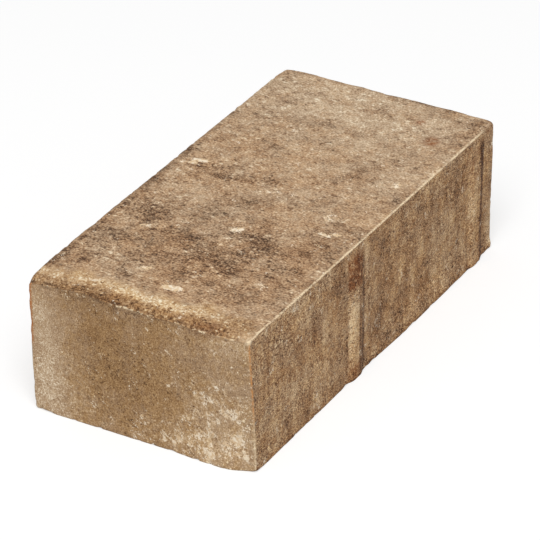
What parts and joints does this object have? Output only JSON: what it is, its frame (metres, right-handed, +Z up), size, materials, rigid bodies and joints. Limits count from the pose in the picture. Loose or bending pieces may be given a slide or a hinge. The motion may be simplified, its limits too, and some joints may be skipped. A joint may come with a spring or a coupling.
{
  "type": "concrete paving stone",
  "caption": "Rectangular brown concrete paving stone with upright spacer ribs on its long sides, laid flat beside others to pave paths and yards.",
  "frame": {"origin": "centre of the bed face, the flat underside", "axes": "+X along the length towards the end with crisp edges, +Y across the width, +Z up through the top face"},
  "size_m": [0.2, 0.102, 0.06],
  "materials": {
    "concrete": "rough matt, brown mottled, unsealed"
  },
  "bodies": {
    "root": {"paving_stone": "concrete"}
  },
  "joints": []
}
